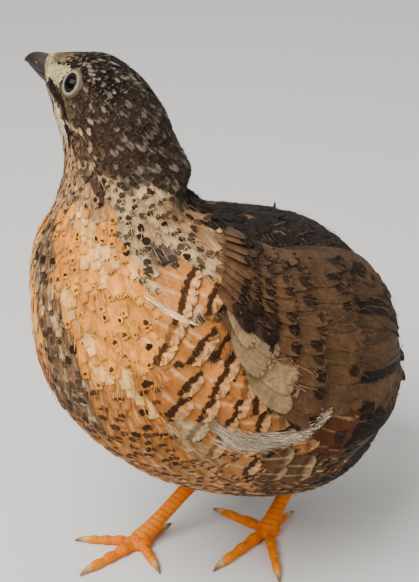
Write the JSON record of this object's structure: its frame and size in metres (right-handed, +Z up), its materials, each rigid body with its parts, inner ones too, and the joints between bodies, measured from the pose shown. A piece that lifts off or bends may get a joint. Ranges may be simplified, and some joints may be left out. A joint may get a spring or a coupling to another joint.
{
  "type": "painted quail hen model",
  "caption": "Life-size still model of a small round brown quail hen standing alert on orange legs, head turned to one side.",
  "frame": {"origin": "centre of the bounding box, at floor level under the feet", "axes": "+Z up, the bird's breast faces -Y and its left side is +X"},
  "size_m": [0.0732, 0.0976, 0.1173],
  "materials": {
    "plumage": "soft buff-brown feathers with dark bars and specks",
    "flight_plumage": "taupe-brown feathers with dark spots",
    "bill": "grey-black horn",
    "eye": "wet brown-black eye",
    "leg_skin": "orange scaled skin",
    "claw": "horn-brown claw"
  },
  "bodies": {
    "root": {"bill_lower": "bill", "bill_upper": "bill", "claw_left_back": "claw", "claw_left_inner": "claw", "claw_left_middle": "claw", "claw_left_outer": "claw", "claw_right_back": "claw", "claw_right_inner": "claw", "claw_right_middle": "claw", "claw_right_outer": "claw", "eye_left": "eye", "eye_right": "eye", "head": "plumage", "neck": "plumage", "shank_left": "leg_skin", "shank_right": "leg_skin", "tail": "flight_plumage", "thigh_left": "plumage", "thigh_right": "plumage", "toe_left_back": "leg_skin", "toe_left_inner": "leg_skin", "toe_left_middle": "leg_skin", "toe_left_outer": "leg_skin", "toe_right_back": "leg_skin", "toe_right_inner": "leg_skin", "toe_right_middle": "leg_skin", "toe_right_outer": "leg_skin", "torso": "plumage", "wing_left": "flight_plumage", "wing_right": "flight_plumage"}
  },
  "joints": []
}
